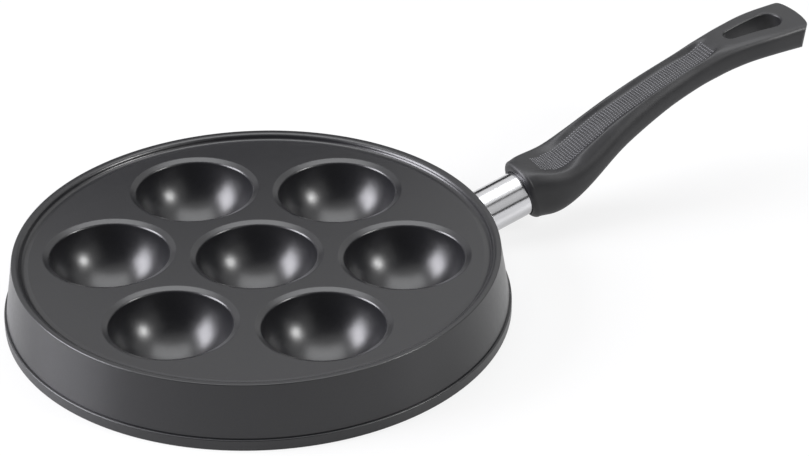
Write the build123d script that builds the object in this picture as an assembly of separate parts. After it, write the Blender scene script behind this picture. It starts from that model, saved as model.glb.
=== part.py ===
from build123d import *
import math
import os

os.makedirs("parts", exist_ok=True)

# An aebleskiver pan with seven round cups, in millimetres.
# The origin is the centre of the flat base, +X runs along the handle and +Z is up.

# Pan, the size across the rim's outer edge and the heights above the stove
rim_radius = 100.0
pan_height = 27.3
rim_rise = 2.3
rim_width = 1.8
rim_slope = 0.9
rim_fold_radius = 1.5
rim_foot_radius = 1.6
rim_shoulder_radius = 2.0
gutter_width = 2.8
gutter_depth = 0.5
gutter_edge_radius = 3.0
skirt_flare = 3.2
sheet_thickness = 1.0

# Cups: the flat webs between them and round the outside, and the sloping lip of their mouths
cup_web = 5.4
cup_land = 5.1
cup_lip_tilt = 25.0
cup_lip_length = 1.8
cup_edge_radius = 1.2
cup_throat_radius = 1.4
cup_ring_count = 6
cup_contact_sink = 0.3

# Base cap, a shallow dish pressed round the skirt's foot
cap_thickness = 1.0
cap_wall_height = 4.7
cap_corner_radius = 1.4
cap_lip_radius = 0.3

# Ferrule, the bright tube between the skirt and the handle
ferrule_radius = 9.85
ferrule_wall = 0.8
ferrule_tilt = 14.0
ferrule_seat_height = 12.7
ferrule_showing = 22.9
ferrule_socket_depth = 8.0
ferrule_clearance = 0.3
cap_clearance = 0.3

# Bracket inside the ferrule, a bent strap welded to the skirt
strap_thickness = 1.5
strap_height = 8.0
strap_gap = 8.6
strap_foot_reach = 7.7
web_clearance = 0.5

# Screw, washer and nut
screw_radius = 2.5
screw_length = 20.0
screw_tip_chamfer = 0.6
screw_head_radius = 4.25
screw_head_height = 3.3
screw_head_edge = 0.8
recess_length = 5.0
recess_width = 1.0
recess_depth = 1.8
washer_radius = 4.5
washer_thickness = 1.0
nut_across_flats = 8.0
nut_height = 4.0
hole_clearance = 0.25
thread_clearance = 0.05
head_clearance = 0.35
screw_wall = 9.0

# Handle, from the middle of its front face
handle_length = 138.4
handle_rise = 52.0
handle_depth = 25.4
handle_width = 30.6
handle_front_edge = 2.4
handle_end_corner = 4.4
handle_end_crown = 2.4
handle_end_spare = 0.2
handle_end_lean = 10.0
valley_depth = 3.6
valley_half_width = 12.6

# Hanging slot near the handle's end
slot_length = 27.9
slot_near_radius = 3.4
slot_far_radius = 6.2
slot_end_land = 9.0
slot_edge = 1.0
slot_lean = 6.0

# One overrun for every cut
overrun = 40.0

# Handle stations: place along the handle, crest height, depth, width,
# valley depth and valley width, each as a share of the size that it follows
handle_shares = [
    (0.000, 0.262, 0.976, 0.806, 0.00, 0.62),
    (0.042, 0.281, 1.000, 0.863, 0.42, 0.74),
    (0.079, 0.284, 0.988, 0.952, 0.84, 0.92),
    (0.115, 0.293, 0.941, 1.000, 1.00, 1.00),
    (0.173, 0.357, 0.882, 1.000, 1.10, 0.75),
    (0.238, 0.465, 0.845, 0.928, 1.10, 0.70),
    (0.318, 0.581, 0.752, 0.810, 1.10, 0.66),
    (0.405, 0.686, 0.687, 0.725, 1.17, 0.635),
    (0.499, 0.785, 0.626, 0.667, 1.16, 0.62),
    (0.593, 0.869, 0.588, 0.647, 1.20, 0.60),
    (0.640, 0.901, 0.561, 0.658, 1.05, 0.58),
    (0.672, 0.918, 0.542, 0.678, 0.45, 0.54),
    (0.702, 0.931, 0.516, 0.699, 0.05, 0.50),
    (0.740, 0.946, 0.491, 0.738, 0.00, 0.50),
    (0.781, 0.962, 0.474, 0.784, 0.00, 0.50),
    (0.826, 0.977, 0.467, 0.840, 0.00, 0.50),
    (0.876, 0.988, 0.465, 0.882, 0.00, 0.50),
    (0.926, 0.995, 0.471, 0.894, 0.00, 0.50),
    (0.974, 1.000, 0.478, 0.896, 0.00, 0.50),
    (1.022, 1.003, 0.484, 0.896, 0.00, 0.50),
]
# Squareness of the upper and lower half of a section, front to end
upper_power_shares = [(0.0, 2.6), (0.115, 2.8), (0.173, 2.5), (0.24, 2.1), (0.6, 2.2), (0.66, 2.8),
                      (0.74, 4.0), (1.0, 6.0)]
lower_power_shares = [(0.0, 2.4), (0.19, 2.6), (0.42, 3.0), (0.77, 3.5), (1.0, 4.0)]
# Steepness of the valley's walls, front to end
valley_power_shares = [(0.115, 4), (0.24, 6), (1.0, 6)]
section_points = 48
front_rounding_steps = 4
upright_from_share = 0.115

# Heights and radii that follow from the sizes above
skirt_foot_radius = rim_radius + skirt_flare
plate_height = pan_height - rim_rise
plate_radius = rim_radius - rim_fold_radius - rim_width - rim_slope - gutter_width
cup_mouth_radius = (plate_radius - cup_land - cup_web) / 3
cup_pitch_radius = 2 * cup_mouth_radius + cup_web
cup_depth = plate_height - cap_thickness - sheet_thickness + cup_contact_sink
seam_height = cap_wall_height + sheet_thickness / 2
fold_height = pan_height - rim_fold_radius
skirt_drop = fold_height - seam_height


def skirt_radius_at(height):
    """Outer radius of the skirt at a height on its sloping part."""
    return rim_radius + skirt_flare * (fold_height - height) / skirt_drop


seat_radius = skirt_radius_at(ferrule_seat_height)
tilt = math.radians(ferrule_tilt)
ferrule_frame = Plane(
    origin=(seat_radius, 0, ferrule_seat_height),
    x_dir=(0, 1, 0),
    z_dir=(math.cos(tilt), 0, math.sin(tilt)),
)
socket_floor = ferrule_showing + ferrule_socket_depth
web_outer = socket_floor - web_clearance
web_inner = web_outer - strap_thickness
screw_seat = socket_floor + screw_wall
head_seat = screw_seat + washer_thickness
front_x = seat_radius + ferrule_showing * math.cos(tilt)
front_z = ferrule_seat_height + ferrule_showing * math.sin(tilt)
handle_end_x = front_x + handle_length


def along(distance):
    """Frame on the ferrule's axis, that far from the skirt."""
    return ferrule_frame.offset(distance)


def turned(profile):
    """Solid of revolution about the pan's axis from a face on the XZ plane."""
    return revolve(profile, Axis.Z, 360)


def inset_corners(points, inset):
    """Corners of an open line from left to right, moved in below it by a distance."""
    turns = [math.atan2(z1 - z0, x1 - x0) for (x0, z0), (x1, z1) in zip(points[:-1], points[1:])]
    before = [turns[0]] + turns
    after = turns + [turns[-1]]
    moved = []
    for (x, z), first, second in zip(points, before, after):
        middle = (first + second) / 2
        reach = inset / math.cos((second - first) / 2)
        moved.append((x + reach * math.sin(middle), z - reach * math.cos(middle)))
    return moved


def arc(centre_x, centre_z, radius, first, last):
    """Arc on the XZ plane about a centre, between two angles."""
    spots = []
    for angle in (first, (first + last) / 2, last):
        spots.append((centre_x + radius * math.cos(angle), 0, centre_z + radius * math.sin(angle)))
    return ThreePointArc(*spots)


def pan_outline(inset):
    """Top and outer line of the pan without its cups, set in by a distance, from the axis out."""
    slope = math.atan2(skirt_flare, skirt_drop)
    fold_centre = rim_radius - rim_fold_radius
    rim_inner = fold_centre - rim_width
    foot = rim_inner - rim_slope
    corners = [
        (0, plate_height),
        (foot - gutter_width, plate_height),
        (foot, plate_height - gutter_depth),
        (rim_inner, pan_height),
        (fold_centre, pan_height),
    ]
    top_points = [(x, 0, z) for x, z in inset_corners(corners, inset)]
    bends = [gutter_edge_radius - inset, rim_foot_radius + inset, rim_shoulder_radius - inset]
    top_line = FilletPolyline(*top_points, radius=bends)
    seam_x = skirt_foot_radius - inset
    fold = arc(fold_centre, fold_height, rim_fold_radius - inset, math.pi / 2, slope)
    skirt_line = Line(fold @ 1, (seam_x, 0, seam_height))
    foot_line = Line((seam_x, 0, seam_height), (seam_x, 0, cap_thickness))
    return [*top_line.edges(), fold, skirt_line, foot_line]


def pan_envelope(inset):
    """Filled body under the pan's outline, down to the inside of the base cap."""
    lines = pan_outline(inset)
    low = Line((skirt_foot_radius - inset, 0, cap_thickness), (0, 0, cap_thickness))
    axis_line = Line((0, 0, cap_thickness), (0, 0, plate_height - inset))
    return turned(make_face(lines + [low, axis_line]))


def cup_face(inset):
    """Half section of a cup: its hollow at inset 0, its outer body at the sheet's thickness."""
    lip = math.radians(cup_lip_tilt)
    lip_turn = math.pi / 2 + lip
    edge_z = plate_height - cup_edge_radius
    shift = cup_edge_radius - cup_throat_radius
    throat_x = cup_mouth_radius - shift * math.sin(lip) - cup_lip_length * math.cos(lip)
    throat_z = edge_z + shift * math.cos(lip) - cup_lip_length * math.sin(lip)
    low = throat_z - plate_height + cup_depth
    bowl_radius = (throat_x ** 2 + low ** 2 - cup_throat_radius ** 2) / (2 * (low + cup_throat_radius))
    centre_z = plate_height - cup_depth + bowl_radius
    lean = math.pi - math.atan2(centre_z - throat_z, throat_x)
    edge = arc(cup_mouth_radius, edge_z, cup_edge_radius - inset, math.pi / 2, lip_turn)
    throat = arc(throat_x, throat_z, cup_throat_radius - inset, lip_turn, lean)
    bowl = arc(0, centre_z, bowl_radius + inset, lean - math.pi, -math.pi / 2)
    lip_line = Line(edge @ 1, throat @ 0)
    head_z = plate_height + (overrun if inset == 0 else 0)
    axis_line = Line(bowl @ 1, (0, 0, head_z))
    head = Line((0, 0, head_z), (cup_mouth_radius, 0, head_z))
    side = Line((cup_mouth_radius, 0, head_z), edge @ 0)
    return make_face([edge, lip_line, throat, bowl, axis_line, head, side])


def cup_places():
    """The middle cup and the ring of cups, the handle midway between two of them."""
    places = [(0, 0)]
    step = 2 * math.pi / cup_ring_count
    for number in range(cup_ring_count):
        angle = step * (number + 1 / 2)
        places.append((cup_pitch_radius * math.cos(angle), cup_pitch_radius * math.sin(angle)))
    return places


def make_pan_shell():
    """One drawn sheet: skirt, raised rim, plate and seven cups."""
    shell = pan_envelope(0) - pan_envelope(sheet_thickness)
    cup_body = turned(cup_face(sheet_thickness))
    cup_hollow = turned(cup_face(0))
    foot_radius = cup_mouth_radius + sheet_thickness
    floor = Pos(0, 0, cap_thickness / 2) * Cylinder(foot_radius, cap_thickness)
    cup_body = cup_body - floor
    for x, y in cup_places():
        shell = shell + Pos(x, y, 0) * cup_body
    for x, y in cup_places():
        shell = shell - Pos(x, y, 0) * cup_hollow
    return shell


def make_base_cap():
    """Flat steel dish under the pan, its wall standing round the skirt's foot."""
    outer = skirt_foot_radius + cap_thickness
    corner = cap_corner_radius
    diagonal = corner * math.sin(math.pi / 4)
    bottom = Line((0, 0, 0), (outer - corner, 0, 0))
    bend = ThreePointArc(
        (outer - corner, 0, 0),
        (outer - corner + diagonal, 0, corner - diagonal),
        (outer, 0, corner),
    )
    wall = Line((outer, 0, corner), (outer, 0, cap_wall_height - cap_lip_radius))
    lip = ThreePointArc(
        (outer, 0, cap_wall_height - cap_lip_radius),
        (outer - cap_lip_radius + cap_lip_radius * math.cos(math.pi / 4), 0,
         cap_wall_height - cap_lip_radius + cap_lip_radius * math.sin(math.pi / 4)),
        (outer - cap_lip_radius, 0, cap_wall_height),
    )
    top = Line((outer - cap_lip_radius, 0, cap_wall_height), (skirt_foot_radius, 0, cap_wall_height))
    inner = Line((skirt_foot_radius, 0, cap_wall_height), (skirt_foot_radius, 0, cap_thickness))
    floor = Line((skirt_foot_radius, 0, cap_thickness), (0, 0, cap_thickness))
    axis_line = Line((0, 0, cap_thickness), (0, 0, 0))
    return turned(make_face([bottom, bend, wall, lip, top, inner, floor, axis_line]))


def round_bar(radius, start, end):
    """Solid bar on the ferrule's axis between two distances from the skirt."""
    return extrude(along(start) * Circle(radius), end - start)


def block(width, height, start, end):
    """Solid block along the ferrule's axis, its width across the handle."""
    return extrude(along(start) * Rectangle(width, height), end - start)


def make_ferrule():
    """Bright steel tube, its end cut to the skirt and clear of the base cap."""
    start = -ferrule_radius / 2
    tube = round_bar(ferrule_radius, start, socket_floor)
    tube = tube - round_bar(ferrule_radius - ferrule_wall, start, socket_floor)
    cap_relief_radius = skirt_foot_radius + cap_thickness + cap_clearance
    cap_relief_height = cap_wall_height + cap_clearance
    relief = Pos(0, 0, cap_relief_height / 2) * Cylinder(cap_relief_radius, cap_relief_height)
    return tube - pan_envelope(0) - relief


def skirt_layer(thickness):
    """Ring of a thickness that lies on the outside of the skirt's sloping part."""
    slope = math.atan2(skirt_flare, skirt_drop)
    breadth = thickness / math.cos(slope)
    foot = skirt_radius_at(seam_height)
    top = skirt_radius_at(fold_height)
    ring = Polyline(
        (foot, 0, seam_height),
        (foot + breadth, 0, seam_height),
        (top + breadth, 0, fold_height),
        (top, 0, fold_height),
        close=True,
    )
    return turned(make_face(ring.edges()))


def make_handle_bracket():
    """Bent strap: two feet welded to the skirt, two legs and a web with the screw's hole."""
    layer = skirt_layer(strap_thickness) - pan_envelope(0)
    feet_width = 2 * strap_foot_reach
    feet = layer & block(feet_width, strap_height, -strap_foot_reach, strap_foot_reach)
    strap_width = strap_gap + 2 * strap_thickness
    legs = block(strap_width, strap_height, -strap_foot_reach, web_outer)
    feet_and_legs = feet + (legs - pan_envelope(0))
    gap = block(strap_gap, strap_height + strap_thickness, -strap_foot_reach, web_inner)
    hole_radius = screw_radius + hole_clearance
    hole = round_bar(hole_radius, web_inner - strap_thickness, web_outer + strap_thickness)
    return feet_and_legs - gap - hole


def make_bracket_nut():
    """Hexagon nut welded inside the bracket's web."""
    nut_radius = nut_across_flats / 2 / math.cos(math.pi / 6)
    hexagon = RegularPolygon(nut_radius, 6, rotation=90)
    body = extrude(along(web_inner - nut_height) * hexagon, nut_height)
    return body - round_bar(screw_radius + thread_clearance, web_inner - 2 * nut_height, web_outer)


def make_screw_washer():
    """Flat washer under the screw's head."""
    ring = round_bar(washer_radius, screw_seat, head_seat)
    return ring - round_bar(screw_radius + hole_clearance, screw_seat, head_seat)


def make_handle_screw():
    """Machine screw that pulls the handle and the ferrule against the pan."""
    tip = head_seat - screw_length
    shank = round_bar(screw_radius, tip, head_seat)
    shank = chamfer(shank.edges().sort_by(Axis.X)[0], screw_tip_chamfer)
    head = round_bar(screw_head_radius, head_seat, head_seat + screw_head_height)
    head = fillet(head.edges().sort_by(Axis.X)[-1], screw_head_edge)
    head_top = head_seat + screw_head_height
    for size in [(recess_length, recess_width), (recess_width, recess_length)]:
        head = head - block(size[0], size[1], head_top - recess_depth, head_top + recess_depth)
    return shank + head


def share_at(table, place):
    """Value of a share table at a place, on the straight line between its rows."""
    rows = list(zip(table[:-1], table[1:]))
    for (low, low_value), (high, high_value) in rows:
        if place <= high:
            part = max(0, (place - low) / (high - low))
            return low_value + (high_value - low_value) * part
    return table[-1][1]


def handle_section(row, inset=0, advance=0):
    """Cross-section of the handle with the thumb valley in its top, leaning with the front face."""
    place, crest, depth, width, dip, dip_width = row
    lean = tilt * max(0, 1 - place / upright_from_share)
    half_depth = handle_depth * depth / 2
    middle_z = front_z + handle_rise * crest - half_depth
    half_width = handle_width * width / 2 - inset
    half_depth = half_depth - inset
    upper = share_at(upper_power_shares, place)
    lower = share_at(lower_power_shares, place)
    wall_power = share_at(valley_power_shares, place)
    reach = valley_half_width * dip_width
    points = []
    for number in range(section_points):
        angle = 2 * math.pi * number / section_points
        c = math.cos(angle)
        s = math.sin(angle)
        power = upper if s > 0 else lower
        spread = (abs(c) ** power + abs(s) ** power) ** (-1 / power)
        y = half_width * c * spread
        z = middle_z + half_depth * s * spread
        if s > 0 and abs(y) < reach:
            z = z - valley_depth * dip * (1 - (abs(y) / reach) ** wall_power) ** 2
        x = front_x + handle_length * place + advance - (z - front_z) * math.tan(lean)
        points.append((x, y, z))
    steps = [number / section_points for number in range(section_points + 1)]
    return make_face(Edge.make_spline(points, periodic=True, parameters=steps))


def handle_body():
    """Handle without its openings: the long loft and the rounded edge of its front face."""
    rows = handle_shares
    sections = [handle_section(rows[0], 0, handle_front_edge)]
    sections = sections + [handle_section(row) for row in rows[1:]]
    edge_sections = []
    for number in range(front_rounding_steps + 1):
        angle = math.pi / 2 * number / front_rounding_steps
        inset = handle_front_edge * (1 - math.sin(angle))
        advance = handle_front_edge * (1 - math.cos(angle))
        edge_sections.append(handle_section(rows[0], inset, advance))
    return loft(sections) + loft(edge_sections)


def handle_end_plan():
    """Outline of the handle's end from above, with round corners and a crown."""
    half = handle_width * handle_shares[-1][3] / 2 + handle_end_spare
    end = handle_end_x - handle_end_crown
    start = handle_end_x - overrun
    near_side = Line((start, -half), (end, -half))
    crown = ThreePointArc((end, -half), (handle_end_x, 0), (end, half))
    far_side = Line((end, half), (start, half))
    back = Line((start, half), (start, -half))
    plan = make_face([near_side, crown, far_side, back])
    corners = plan.vertices().group_by(Axis.X)[-1]
    return fillet(corners, handle_end_corner)


def make_slot_tool():
    """Tapered slot, narrow towards the pan, that runs right through the handle."""
    far_x = handle_end_x - slot_end_land - slot_far_radius
    near_x = handle_end_x - slot_end_land - slot_length + slot_near_radius
    near = Pos(near_x, 0) * Circle(slot_near_radius)
    far = Pos(far_x, 0) * Circle(slot_far_radius)
    outline = make_hull(near.edges() + far.edges())
    level = front_z + handle_rise
    lean = math.radians(slot_lean)
    middle = (near_x + far_x) / 2
    frame = Plane(origin=(middle, 0, level), x_dir=(math.cos(lean), 0, math.sin(lean)),
                  z_dir=(-math.sin(lean), 0, math.cos(lean)))
    placed = frame * Pos(-middle, 0) * outline
    return extrude(placed, overrun, both=True)


def make_handle():
    """Moulded handle with its thumb valley, ferrule socket, screw well and hanging slot."""
    body = handle_body()
    level = front_z + handle_rise
    lean = math.radians(handle_end_lean)
    plan = Pos(0, 0, level) * handle_end_plan()
    down = extrude(plan, handle_depth, dir=(-math.sin(lean), 0, -math.cos(lean)))
    up = extrude(plan, handle_depth, dir=(math.sin(lean), 0, math.cos(lean)))
    tip_start = handle_end_x - handle_end_crown - 2 * handle_end_corner
    tip = Pos(tip_start + overrun / 2, 0, level) * Box(overrun, handle_width, handle_depth)
    body = body - (tip - down - up)
    slot = make_slot_tool()
    with_slot = body - slot
    cut_edges = new_edges(body, slot, combined=with_slot)
    slot_rims = [edge for edge in cut_edges if edge.bounding_box().size.Z < slot_far_radius]
    body = fillet(slot_rims, slot_edge)
    socket = round_bar(ferrule_radius + ferrule_clearance, -overrun, socket_floor)
    bore = round_bar(screw_radius + hole_clearance, 0, screw_seat)
    well = round_bar(screw_head_radius + head_clearance, screw_seat, screw_seat + 2 * overrun)
    return body - socket - bore - well


def write(node, solid):
    """Save one piece under its node's name."""
    export_step(solid, "parts/" + node + ".step")


write("pan_shell", make_pan_shell())
write("base_cap", make_base_cap())
write("handle_bracket", make_handle_bracket())
write("bracket_nut", make_bracket_nut())
write("ferrule", make_ferrule())
write("handle", make_handle())
write("screw_washer", make_screw_washer())
write("handle_screw", make_handle_screw())
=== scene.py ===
import math

import bpy
from mathutils import Matrix, Vector
from mathutils.bvhtree import BVHTree
from mathutils.geometry import tessellate_polygon


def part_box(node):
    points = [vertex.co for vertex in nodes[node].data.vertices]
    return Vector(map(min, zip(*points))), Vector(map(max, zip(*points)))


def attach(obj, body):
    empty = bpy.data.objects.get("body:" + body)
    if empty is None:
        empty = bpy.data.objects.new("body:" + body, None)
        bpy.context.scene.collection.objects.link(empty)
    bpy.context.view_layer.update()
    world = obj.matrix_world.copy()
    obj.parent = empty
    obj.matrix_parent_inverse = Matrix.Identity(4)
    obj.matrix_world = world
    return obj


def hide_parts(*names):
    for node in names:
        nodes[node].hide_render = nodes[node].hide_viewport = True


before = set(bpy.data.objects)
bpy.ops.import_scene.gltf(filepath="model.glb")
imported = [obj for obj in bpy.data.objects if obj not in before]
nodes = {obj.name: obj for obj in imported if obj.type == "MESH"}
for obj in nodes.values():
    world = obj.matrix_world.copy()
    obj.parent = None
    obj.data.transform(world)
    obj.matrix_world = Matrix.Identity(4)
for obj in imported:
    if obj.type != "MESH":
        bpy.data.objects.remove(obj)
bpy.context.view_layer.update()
mm = 0.001
print("frame loaded with", len(nodes), "nodes")


# Small helpers for materials and meshes
softDetail = 2.0  # how many finer layers a noise gets: few for clouds, more for grain
fineDetail = 3.0


def linearColour(hexText):  # an sRGB hex colour by the sRGB curve
    parts = [int(hexText[i:i + 2], 16) / 255 for i in (1, 3, 5)]
    return [p / 12.92 if p <= 0.04045 else ((p + 0.055) / 1.055) ** 2.4 for p in parts] + [1.0]


def perMetre(sizeInMm):  # a pattern's scale from the real size of one grain
    return 1000 / sizeInMm


def addNode(tree, kind, values=None, links=None, **settings):
    node = tree.nodes.new(kind)
    for name, value in settings.items():
        setattr(node, name, value)
    for socket, value in (values or {}).items():
        node.inputs[socket].default_value = value
    for socket, source in (links or {}).items():
        tree.links.new(source, node.inputs[socket])
    return node


def newMaterial(name):
    material = bpy.data.materials.new(name)
    material.use_nodes = True
    tree = material.node_tree
    tree.nodes.clear()
    place = addNode(tree, "ShaderNodeTexCoord").outputs["Object"]
    return material, tree, place


def finishMaterial(tree, shader):
    addNode(tree, "ShaderNodeOutputMaterial", links={"Surface": shader.outputs[0]})


def darkToLight(tree, source, look):
    ramp = addNode(tree, "ShaderNodeValToRGB", links={"Fac": source})
    for element, position, colour in zip(ramp.color_ramp.elements, look["spread"],
                                         (look["dark"], look["light"])):
        element.position = position
        element.color = linearColour(colour)
    return ramp.outputs["Color"]


def wear(node, material):
    nodes[node].data.materials.clear()
    nodes[node].data.materials.append(material)


def valueAt(table, place):  # a straight line from row to row of (place, value)
    for (low, lowValue), (high, highValue) in zip(table[:-1], table[1:]):
        if place <= high:
            return lowValue + (highValue - lowValue) * max(0.0, (place - low) / (high - low))
    return table[-1][1]


def meshPiece(name, points, faces, material):
    mesh = bpy.data.meshes.new(name)
    mesh.from_pydata(points, [], faces)
    mesh.polygons.foreach_set("use_smooth", [True] * len(mesh.polygons))
    mesh.materials.append(material)
    mesh.update()
    piece = bpy.data.objects.new(name, mesh)
    bpy.context.scene.collection.objects.link(piece)
    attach(piece, "root")
    return piece


# Sprayed and baked non-stick coating: near black, satin gloss, with a faint orange peel
coating = {
    "dark": "#151517",
    "light": "#1d1d1f",
    "spread": (0.35, 0.7),  # grain values where the dark colour ends and the light one starts
    "ior": 1.52,
    "roughness": (0.26, 0.34),
    "peelSize": 2.2,
    "peelDepth": 0.004,
    "grainSize": 0.35,  # the real grain is finer, and is drawn this coarse so that it shows
    "grainDepth": 0.0016,
}


def nonStickCoating(name, look):
    material, tree, place = newMaterial(name)
    peel = addNode(tree, "ShaderNodeTexNoise",
                   {"Scale": perMetre(look["peelSize"]), "Detail": softDetail}, {"Vector": place})
    grain = addNode(tree, "ShaderNodeTexNoise",
                    {"Scale": perMetre(look["grainSize"]), "Detail": fineDetail}, {"Vector": place})
    colour = darkToLight(tree, grain.outputs["Fac"], look)
    rough = addNode(tree, "ShaderNodeMapRange",
                    {"To Min": look["roughness"][0], "To Max": look["roughness"][1]},
                    {"Value": peel.outputs["Fac"]})
    peelBump = addNode(tree, "ShaderNodeBump", {"Distance": look["peelDepth"] * mm, "Strength": 1.0},
                       {"Height": peel.outputs["Fac"]})
    grainBump = addNode(tree, "ShaderNodeBump", {"Distance": look["grainDepth"] * mm, "Strength": 1.0},
                        {"Height": grain.outputs["Fac"], "Normal": peelBump.outputs["Normal"]})
    shader = addNode(tree, "ShaderNodeBsdfPrincipled", {"IOR": look["ior"]},
                     {"Base Color": colour, "Roughness": rough.outputs["Result"],
                      "Normal": grainBump.outputs["Normal"]})
    finishMaterial(tree, shader)
    return material


# Polished stainless steel, drawn into a tube: mirror bright with fine lines along it
tubeSteel = {
    "colour": "#cfcfd1",
    "roughness": (0.13, 0.23),
    "lineWidth": 0.25,  # drawing lines are finer, and are drawn this wide so that they show
    "lineLength": 60.0,
    "lineDepth": 0.0006,
}


def polishedSteel(name, look):
    material, tree, place = newMaterial(name)
    stretch = addNode(tree, "ShaderNodeMapping",
                      {"Scale": (perMetre(look["lineLength"]), perMetre(look["lineWidth"]),
                                 perMetre(look["lineWidth"]))}, {"Vector": place})
    lines = addNode(tree, "ShaderNodeTexNoise", {"Scale": 1.0, "Detail": fineDetail},
                    {"Vector": stretch.outputs["Vector"]})
    rough = addNode(tree, "ShaderNodeMapRange",
                    {"To Min": look["roughness"][0], "To Max": look["roughness"][1]},
                    {"Value": lines.outputs["Fac"]})
    bump = addNode(tree, "ShaderNodeBump", {"Distance": look["lineDepth"] * mm, "Strength": 1.0},
                   {"Height": lines.outputs["Fac"]})
    shader = addNode(tree, "ShaderNodeBsdfPrincipled",
                     {"Base Color": linearColour(look["colour"]), "Metallic": 1.0},
                     {"Roughness": rough.outputs["Result"], "Normal": bump.outputs["Normal"]})
    finishMaterial(tree, shader)
    return material


# Phenolic, the hard black resin of pan handles, moulded in a satin mould
handleResin = {
    "dark": "#121214",
    "light": "#19191b",
    "spread": (0.3, 0.75),
    "ior": 1.5,
    "roughness": (0.42, 0.52),
    "grainSize": 0.3,  # coarser than a satin mould leaves it, so that it shows
    "grainDepth": 0.004,
    "cloudSize": 9.0,
}
# The same resin on the grip's dots, duller, with its colour painted pale: painted sheen for the light that
# the rough dots catch
paintedPaleGripResin = dict(handleResin, dark="#4e4e50", light="#5a5a5c", roughness=(0.5, 0.6))


def mouldedPhenolic(name, look):
    material, tree, place = newMaterial(name)
    grain = addNode(tree, "ShaderNodeTexNoise",
                    {"Scale": perMetre(look["grainSize"]), "Detail": softDetail}, {"Vector": place})
    cloud = addNode(tree, "ShaderNodeTexNoise",
                    {"Scale": perMetre(look["cloudSize"]), "Detail": softDetail}, {"Vector": place})
    colour = darkToLight(tree, cloud.outputs["Fac"], look)
    rough = addNode(tree, "ShaderNodeMapRange",
                    {"To Min": look["roughness"][0], "To Max": look["roughness"][1]},
                    {"Value": cloud.outputs["Fac"]})
    bump = addNode(tree, "ShaderNodeBump", {"Distance": look["grainDepth"] * mm, "Strength": 1.0},
                   {"Height": grain.outputs["Fac"]})
    shader = addNode(tree, "ShaderNodeBsdfPrincipled", {"IOR": look["ior"]},
                     {"Base Color": colour, "Roughness": rough.outputs["Result"],
                      "Normal": bump.outputs["Normal"]})
    finishMaterial(tree, shader)
    return material


# Zinc plate on steel: dull silver with small cloudy grains
zinc = {
    "dark": "#8f9296",
    "light": "#b4b6b8",
    "spread": (0.3, 0.7),
    "roughness": (0.28, 0.42),
    "grainSize": 0.8,
}


def zincPlate(name, look):
    material, tree, place = newMaterial(name)
    grain = addNode(tree, "ShaderNodeTexNoise",
                    {"Scale": perMetre(look["grainSize"]), "Detail": fineDetail}, {"Vector": place})
    colour = darkToLight(tree, grain.outputs["Fac"], look)
    rough = addNode(tree, "ShaderNodeMapRange",
                    {"To Min": look["roughness"][0], "To Max": look["roughness"][1]},
                    {"Value": grain.outputs["Fac"]})
    shader = addNode(tree, "ShaderNodeBsdfPrincipled", {"Metallic": 1.0},
                     {"Base Color": colour, "Roughness": rough.outputs["Result"]})
    finishMaterial(tree, shader)
    return material


panFinish = nonStickCoating("nonStickCoating", coating)
baseCoating = dict(coating, roughness=(0.34, 0.42))  # a little duller near the stove
baseFinish = nonStickCoating("bakedBaseCoating", baseCoating)
wear("pan_shell", panFinish)
wear("base_cap", baseFinish)
wear("ferrule", polishedSteel("polishedStainlessTube", tubeSteel))
wear("handle", mouldedPhenolic("mouldedPhenolic", handleResin))
zincFinish = zincPlate("zincPlatedSteel", zinc)
for part in ("handle_screw", "screw_washer", "bracket_nut", "handle_bracket"):
    wear(part, zincFinish)
print("materials on the packed pieces")


# Turned skins: rings of points round an upright axis, each point with its true normal

# A line through corners (radius, height, bend) gives spots (radius, height, outward, upward)
def bentLine(corners, steps):
    spots = []
    for before, (x, z, radius), after in zip(corners[:-2], corners[1:-1], corners[2:]):
        first = math.atan2(z - before[1], x - before[0])
        turn = math.remainder(math.atan2(after[1] - z, after[0] - x) - first, 2 * math.pi)
        side = -radius if turn > 0 else radius
        reach = radius * math.tan(abs(turn) / 2)
        centreX = x - reach * math.cos(first) + side * math.sin(first)
        centreZ = z - reach * math.sin(first) - side * math.cos(first)
        for step in range(steps + 1):
            angle = first + turn * step / steps
            normalX, normalZ = -math.sin(angle), math.cos(angle)
            spots.append((centreX + side * normalX, centreZ + side * normalZ, normalX, normalZ))
    lastX, lastZ, _ = corners[-1]
    spots.append((lastX, lastZ) + spots[-1][2:])
    return spots


def addRing(skin, spot, sides, middle=(0, 0)):
    radius, height, outward, upward = spot
    first = len(skin["points"])
    for number in range(sides):
        c, s = math.cos(2 * math.pi * number / sides), math.sin(2 * math.pi * number / sides)
        skin["points"].append(Vector((middle[0] + radius * c, middle[1] + radius * s, height)) * mm)
        skin["normals"].append(Vector((outward * c, outward * s, upward)))
    return [first + number for number in range(sides)]


def joinRings(skin, inner, outer):
    for number in range(len(inner)):
        after = (number + 1) % len(inner)
        skin["faces"].append((inner[number], outer[number], outer[after], inner[after]))


def closeRing(skin, ring, tip):
    for number in range(len(ring)):
        skin["faces"].append((ring[number], ring[(number + 1) % len(ring)], tip))


def skinPiece(name, skin, material, node):
    piece = meshPiece(name, skin["points"], skin["faces"], material)
    piece.data.normals_split_custom_set_from_vertices(skin["normals"])
    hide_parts(node)
    return piece


# Pan: one drawn sheet with a folded rim and seven cups, in millimetres and degrees. The two bends of a
# cup's lip are (radius from the cup's middle, height, own radius).
pan = {
    "rim": [(80.0, 25.0, 0.0), (93.0, 25.0, 3.0), (95.8, 24.5, 1.6), (96.7, 27.3, 2.0),
            (99.786, 27.3, 0.45), (103.2, 5.2, 1.5), (103.2, 1.0, 0.0)],
    "rimSides": 192,
    "bendSteps": 6,
    "bends": [(27.5, 23.8, 1.2), (25.953, 22.858, 1.4)],
    "lipTilt": 25.0,
    "bowlRadius": 24.809,
    "bowlHeight": 26.509,
    "cupSides": 80,
    "cupSteps": 5,
    "bowlSteps": 14,
    "pitch": 60.4,
    "ringCups": 6,
    "firstCup": 30.0,
    "sheet": 1.0,
}


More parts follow.
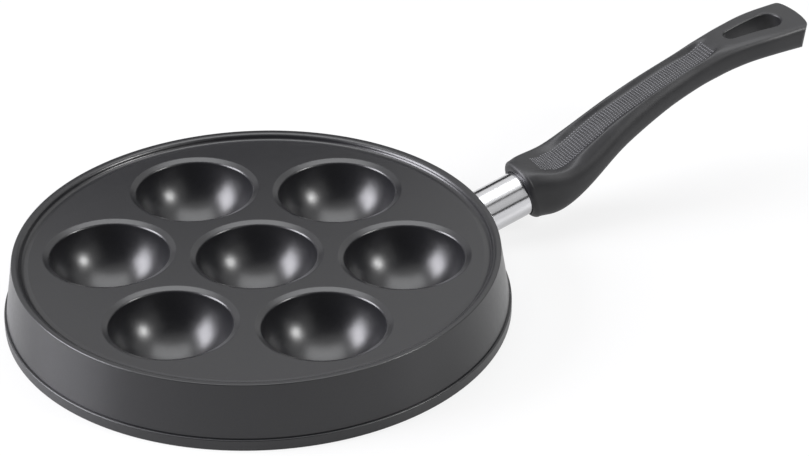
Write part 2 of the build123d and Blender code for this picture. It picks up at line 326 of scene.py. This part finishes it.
def cupLine(look):  # from the mouth's flat edge down the sloping lip and the bowl
    lip = math.radians(90 + look["lipTilt"])
    throatX, throatZ, _ = look["bends"][1]
    lean = math.pi - math.atan2(look["bowlHeight"] - throatZ, throatX)
    spots = []
    for (x, z, radius), first, last in zip(look["bends"], (math.pi / 2, lip), (lip, lean)):
        for step in range(look["cupSteps"] + 1):
            angle = first + (last - first) * step / look["cupSteps"]
            c, s = math.cos(angle), math.sin(angle)
            spots.append((x + radius * c, z + radius * s, c, s))
    for step in range(1, look["bowlSteps"] + 1):
        angle = lean + (math.pi / 2 - lean) * step / look["bowlSteps"]
        c, s = math.cos(angle), math.sin(angle)
        spots.append((-look["bowlRadius"] * c, look["bowlHeight"] - look["bowlRadius"] * s, c, s))
    return spots


def makePan(look, material):
    skin = {"points": [], "normals": [], "faces": []}
    rim = [addRing(skin, spot, look["rimSides"]) for spot in bentLine(look["rim"], look["bendSteps"])]
    for inner, outer in zip(rim[:-1], rim[1:]):
        joinRings(skin, inner, outer)
    places = [(0, 0)]
    for number in range(look["ringCups"]):
        turn = math.radians(look["firstCup"] + 360 / look["ringCups"] * number)
        places.append((look["pitch"] * math.cos(turn), look["pitch"] * math.sin(turn)))
    spots = cupLine(look)
    edges = [rim[0]]
    for place in places:
        rings = [addRing(skin, spot, look["cupSides"], place) for spot in spots[:-1]]
        for outer, inner in zip(rings[:-1], rings[1:]):
            joinRings(skin, inner, outer)
        skin["points"].append(Vector((*place, spots[-1][1])) * mm)
        skin["normals"].append(Vector((0, 0, 1)))
        closeRing(skin, rings[-1], len(skin["points"]) - 1)
        edges.append(rings[0])
    # The flat plate between the rim and the seven mouths
    order = [index for edge in edges for index in edge]
    for corners in tessellate_polygon([[skin["points"][index] for index in edge] for edge in edges]):
        a, b, c = [order[corner] for corner in corners]
        up = (skin["points"][b] - skin["points"][a]).cross(skin["points"][c] - skin["points"][a]).z > 0
        skin["faces"].append((a, b, c) if up else (a, c, b))
    # The same sheet again from below
    count = len(skin["points"])
    skin["points"] += [point - normal * look["sheet"] * mm
                       for point, normal in zip(skin["points"], skin["normals"])]
    skin["normals"] += [-normal for normal in skin["normals"]]
    skin["faces"] += [tuple(count + index for index in reversed(face)) for face in skin["faces"]]
    joinRings(skin, rim[-1], [count + index for index in rim[-1]])
    return skinPiece("drawn_pan", skin, material, "pan_shell")


# Base: a shallow pressed dish whose wall stands round the skirt's foot
base = {
    "line": [(0.0, 1.0, 0.0), (103.2, 1.0, 0.1), (103.2, 4.7, 0.1), (104.2, 4.7, 0.5), (104.2, 0.0, 0.3),
             (0.0, 0.0, 0.0)],
    "sides": 192,
    "bendSteps": 6,
}


def makeBase(look, material):
    skin = {"points": [], "normals": [], "faces": []}
    spots = bentLine(look["line"], look["bendSteps"])[:-1]
    rings = [addRing(skin, spot, look["sides"]) for spot in spots]
    for inner, outer in zip(rings[:-1], rings[1:]):
        joinRings(skin, inner, outer)
    for ring, height, normal in ((rings[0], look["line"][0][1], 1), (rings[-1], look["line"][-1][1], -1)):
        skin["points"].append(Vector((0, 0, height)) * mm)
        skin["normals"].append(Vector((0, 0, normal)))
        closeRing(skin, ring if normal > 0 else ring[::-1], len(skin["points"]) - 1)
    return skinPiece("pressed_base", skin, material, "base_cap")


# Grip: rows of small domes moulded along the top of the handle, between the strip's two edges
grip = {
    "start": 131.5,
    "end": 217.5,
    "pitch": 1.18,
    "radius": 0.44,
    "height": 0.24,
    "sink": 0.15,
    "rings": [(1.0, 0.0), (0.72, 0.68), (0.38, 0.93)],  # a dome's (share of radius, share of height)
    "sides": 8,
    "nearEdge": [(131.5, 4.8), (133.5, 6.4), (136.5, 7.2), (141.0, 7.6), (149.0, 7.4), (157.0, 6.4),
                 (166.0, 5.6), (174.0, 5.2), (208.0, 5.2), (217.5, 4.8)],
    "farEdge": [(131.5, 4.8), (134.0, 5.6), (138.0, 6.0), (160.0, 6.0), (172.0, 5.8), (200.0, 5.8),
                (217.5, 4.8)],
}


def surfaceOf(node):
    mesh = nodes[node].data
    return BVHTree.FromPolygons([v.co for v in mesh.vertices], [p.vertices for p in mesh.polygons])


def addDome(points, faces, foot, normal, look):
    across = normal.cross(Vector((1, 0, 0))).normalized()
    forward = normal.cross(across).normalized()
    first = len(points)
    sides = look["sides"]
    rings = [(1.0, -look["sink"])] + [(share, level * look["height"]) for share, level in look["rings"]]
    for share, lift in rings:
        for number in range(sides):
            angle = 2 * math.pi * number / sides
            reach = look["radius"] * share * mm
            side = across * math.cos(angle) * reach + forward * math.sin(angle) * reach
            points.append(foot + side + normal * lift * mm)
    points.append(foot + normal * look["height"] * mm)
    for ring in range(len(rings) - 1):
        low = first + ring * sides
        for number in range(sides):
            after = (number + 1) % sides
            faces.append((low + number, low + after, low + sides + after, low + sides + number))
    last = first + (len(rings) - 1) * sides
    for number in range(sides):
        faces.append((last + number, last + (number + 1) % sides, len(points) - 1))
    faces.append([first + number for number in reversed(range(sides))])


def makeGrip(look, material):
    top = surfaceOf("handle")
    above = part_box("handle")[1].z + look["pitch"] * mm
    points, faces = [], []
    x = look["start"] + look["pitch"] / 2
    while x < look["end"]:
        near, far = [int(valueAt(look[edge], x) / look["pitch"]) for edge in ("nearEdge", "farEdge")]
        for number in range(-near, far + 1):
            y = number * look["pitch"]
            foot, normal, _, _ = top.ray_cast(Vector((x * mm, y * mm, above)), Vector((0, 0, -1)))
            addDome(points, faces, foot, normal, look)
        x += look["pitch"]
    return meshPiece("grip_dots", points, faces, material)


makePan(pan, panFinish)
makeBase(base, baseFinish)
print("pan and base turned")
# the dots wear the resin whose pale colour is painted sheen
makeGrip(grip, mouldedPhenolic("texturedPhenolic", paintedPaleGripResin))
print("grip dots made")


# Floor and world: the floor keeps the pan's shadow near it and turns white farther off
studio = {
    "floorSize": 12.0,
    "floorGap": 0.1,  # millimetres below the base, so that the two faces don't fight
    "floorColour": "#cfcfcf",
    "floorRoughness": 0.34,
    "floorIor": 1.45,
    "shadowShare": 0.2,
    "mirrorWhite": 0.5,
    "clearFrom": 0.35,
    "clearTo": 1.2,
    "ambient": "#d8dade",
    "ambientStrength": 0.35,
}


# Rays from the camera, from mirrors and through glass see a white backdrop
def whiteRays(tree, cameraShare=None, mirrorShare=1.0):
    path = addNode(tree, "ShaderNodeLightPath")
    seen = path.outputs["Is Camera Ray"]
    if cameraShare:
        seen = addNode(tree, "ShaderNodeMath", operation="MULTIPLY",
                       links={0: seen, 1: cameraShare}).outputs[0]
    bent = addNode(tree, "ShaderNodeMath", operation="MAXIMUM",
                   links={0: path.outputs["Is Glossy Ray"], 1: path.outputs["Is Transmission Ray"]})
    mirrored = addNode(tree, "ShaderNodeMath", {1: mirrorShare}, {0: bent.outputs[0]}, operation="MULTIPLY")
    both = addNode(tree, "ShaderNodeMath", links={0: seen, 1: mirrored.outputs[0]}, operation="MAXIMUM")
    return both.outputs[0]


def makeFloor(look):
    material, tree, place = newMaterial("paleStudioFloor")
    away = addNode(tree, "ShaderNodeVectorMath", operation="LENGTH", links={0: place})
    clear = addNode(tree, "ShaderNodeMapRange",
                    {"From Min": look["clearFrom"], "From Max": look["clearTo"],
                     "To Min": 1 - look["shadowShare"], "To Max": 1.0},
                    {"Value": away.outputs["Value"]}, interpolation_type="SMOOTHSTEP")
    share = whiteRays(tree, clear.outputs["Result"], look["mirrorWhite"])
    satin = addNode(tree, "ShaderNodeBsdfPrincipled",
                    {"Base Color": linearColour(look["floorColour"]), "Roughness": look["floorRoughness"],
                     "IOR": look["floorIor"]})
    white = addNode(tree, "ShaderNodeEmission", {"Color": (1, 1, 1, 1), "Strength": 1.0})
    mix = addNode(tree, "ShaderNodeMixShader",
                  links={0: share, 1: satin.outputs[0], 2: white.outputs[0]})
    finishMaterial(tree, mix)
    half = look["floorSize"] / 2
    low = -look["floorGap"] * mm
    mesh = bpy.data.meshes.new("floor")
    mesh.from_pydata([(-half, -half, low), (half, -half, low), (half, half, low), (-half, half, low)], [],
                     [(0, 1, 2, 3)])
    mesh.materials.append(material)
    floor = bpy.data.objects.new("floor", mesh)
    bpy.context.scene.collection.objects.link(floor)


def makeWorld(look):
    world = bpy.data.worlds.new("studioWorld")
    bpy.context.scene.world = world
    world.use_nodes = True
    tree = world.node_tree
    tree.nodes.clear()
    dim = addNode(tree, "ShaderNodeBackground",
                  {"Color": linearColour(look["ambient"]), "Strength": look["ambientStrength"]})
    white = addNode(tree, "ShaderNodeBackground", {"Color": (1, 1, 1, 1), "Strength": 1.0})
    mix = addNode(tree, "ShaderNodeMixShader",
                  links={0: whiteRays(tree), 1: dim.outputs[0], 2: white.outputs[0]})
    addNode(tree, "ShaderNodeOutputWorld", links={"Surface": mix.outputs[0]})


def direction(azimuth, elevation):  # azimuth from +X towards +Y
    a, e = math.radians(azimuth), math.radians(elevation)
    return Vector((math.cos(e) * math.cos(a), math.cos(e) * math.sin(a), math.sin(e)))


# Each lamp: where it stands as seen from the pan, its size in metres and its brightness
wattsForBrightness = 4.0  # what a lamp of one square metre takes for a brightness of 1
lamps = {
    "keyLamp": {"azimuth": -46, "elevation": 34, "distance": 1.6, "width": 0.36, "height": 0.36,
                "radiance": 30.0, "tint": "#ffffff"},
    "tallLamp": {"azimuth": 157, "elevation": 26, "distance": 1.6, "width": 1.05, "height": 0.95,
                 "radiance": 15.0, "tint": "#f4f3fa"},
    "greyCard": {"azimuth": -77, "elevation": 31, "distance": 2.4, "width": 1.0, "height": 1.65,
                 "radiance": 0.5, "tint": "#ffffff"},
    "overheadLamp": {"azimuth": 65, "elevation": 82, "distance": 1.7, "width": 1.9, "height": 1.0,
                     "radiance": 3.0, "tint": "#f7f8fa"},
}
# Black velvet round the pan keeps the bowls and edges deep: (azimuth, elevation) along its two edges
cloths = {
    "curtain": {
        "distance": 2.6,
        "bottoms": [(-180, 1.3), (50, 1.3), (65, 8), (125, 8), (145, 1.3), (180, 1.3)],
        "tops": [(-180, 46), (-150, 56), (-115, 62), (-80, 62), (-50, 46), (-15, 30), (10, 12), (45, 12),
                 (62, 16), (90, 17), (120, 19), (140, 32), (155, 42), (180, 46)],
        "sides": 72,
        "colour": "#161618",
    },
    "backFlag": {
        "distance": 0.5,
        "bottoms": [(44, 15), (92, 15)],
        "tops": [(44, 18), (53, 27), (61, 31.5), (76, 32), (84, 27), (92, 18)],
        "sides": 24,
        "colour": "#161618",
    },
}


def makeLamp(name, look):
    data = bpy.data.lights.new(name, "AREA")
    data.shape = "RECTANGLE"
    data.size = look["width"]
    data.size_y = look["height"]
    data.color = linearColour(look["tint"])[:3]
    data.energy = look["radiance"] * wattsForBrightness * look["width"] * look["height"]
    lamp = bpy.data.objects.new(name, data)
    bpy.context.scene.collection.objects.link(lamp)
    away = direction(look["azimuth"], look["elevation"])
    turn = away.to_track_quat("Z", "Y").to_matrix().to_4x4()
    lamp.matrix_world = Matrix.Translation(away * look["distance"]) @ turn
    lamp.visible_camera = False


def makeCloth(name, look):
    material, tree, _ = newMaterial("blackVelvet")
    finishMaterial(tree, addNode(tree, "ShaderNodeBsdfDiffuse", {"Color": linearColour(look["colour"])}))
    points, faces = [], []
    start, end = look["tops"][0][0], look["tops"][-1][0]
    for number in range(look["sides"] + 1):
        azimuth = start + (end - start) * number / look["sides"]
        side = direction(azimuth, 0) * look["distance"]
        for edge in (look["bottoms"], look["tops"]):
            rise = look["distance"] * math.tan(math.radians(valueAt(edge, azimuth)))
            points.append(side + Vector((0, 0, rise)))
        if number:
            faces.append((2 * number - 2, 2 * number, 2 * number + 1, 2 * number - 1))
    mesh = bpy.data.meshes.new(name)
    mesh.from_pydata(points, [], faces)
    mesh.materials.append(material)
    cloth = bpy.data.objects.new(name, mesh)
    bpy.context.scene.collection.objects.link(cloth)
    cloth.visible_camera = False


makeFloor(studio)
makeWorld(studio)
for name, look in lamps.items():
    makeLamp(name, look)
for name, look in cloths.items():
    makeCloth(name, look)
print("studio lit")


# Camera at the photograph's view, solved from the rim, the base and the cups
view = {
    "lens": 132.06,
    "sensor": 36.0,
    "distance": 1.226229,
    "elevation": 32.27,
    "yaw": -2.876,
    "pitch": 1.359,
    "roll": 2.47,
    "handleTurn": 24.66,
    "halfPixel": 0.5 / 809,  # of the picture's width
    "nearest": 0.05,
    "farthest": 50.0,
}


def makeCamera(look):
    data = bpy.data.cameras.new("photoCamera")
    data.lens = look["lens"]
    data.sensor_width = look["sensor"]
    data.shift_x = -look["halfPixel"]
    data.shift_y = look["halfPixel"]
    data.clip_start = look["nearest"]
    data.clip_end = look["farthest"]
    camera = bpy.data.objects.new("photoCamera", data)
    bpy.context.scene.collection.objects.link(camera)
    rise = math.radians(look["elevation"])
    back = Vector((0, -look["distance"] * math.cos(rise), look["distance"] * math.sin(rise)))
    camera.matrix_world = (
        Matrix.Rotation(math.radians(-look["handleTurn"]), 4, "Z")
        @ Matrix.Translation(back)
        @ Matrix.Rotation(math.pi / 2 - rise, 4, "X")
        @ Matrix.Rotation(math.radians(look["yaw"]), 4, "Y")
        @ Matrix.Rotation(math.radians(look["pitch"]), 4, "X")
        @ Matrix.Rotation(math.radians(-look["roll"]), 4, "Z")
    )
    bpy.context.scene.camera = camera


makeCamera(view)
bpy.context.scene.view_settings.view_transform = "Standard"
print("camera placed")
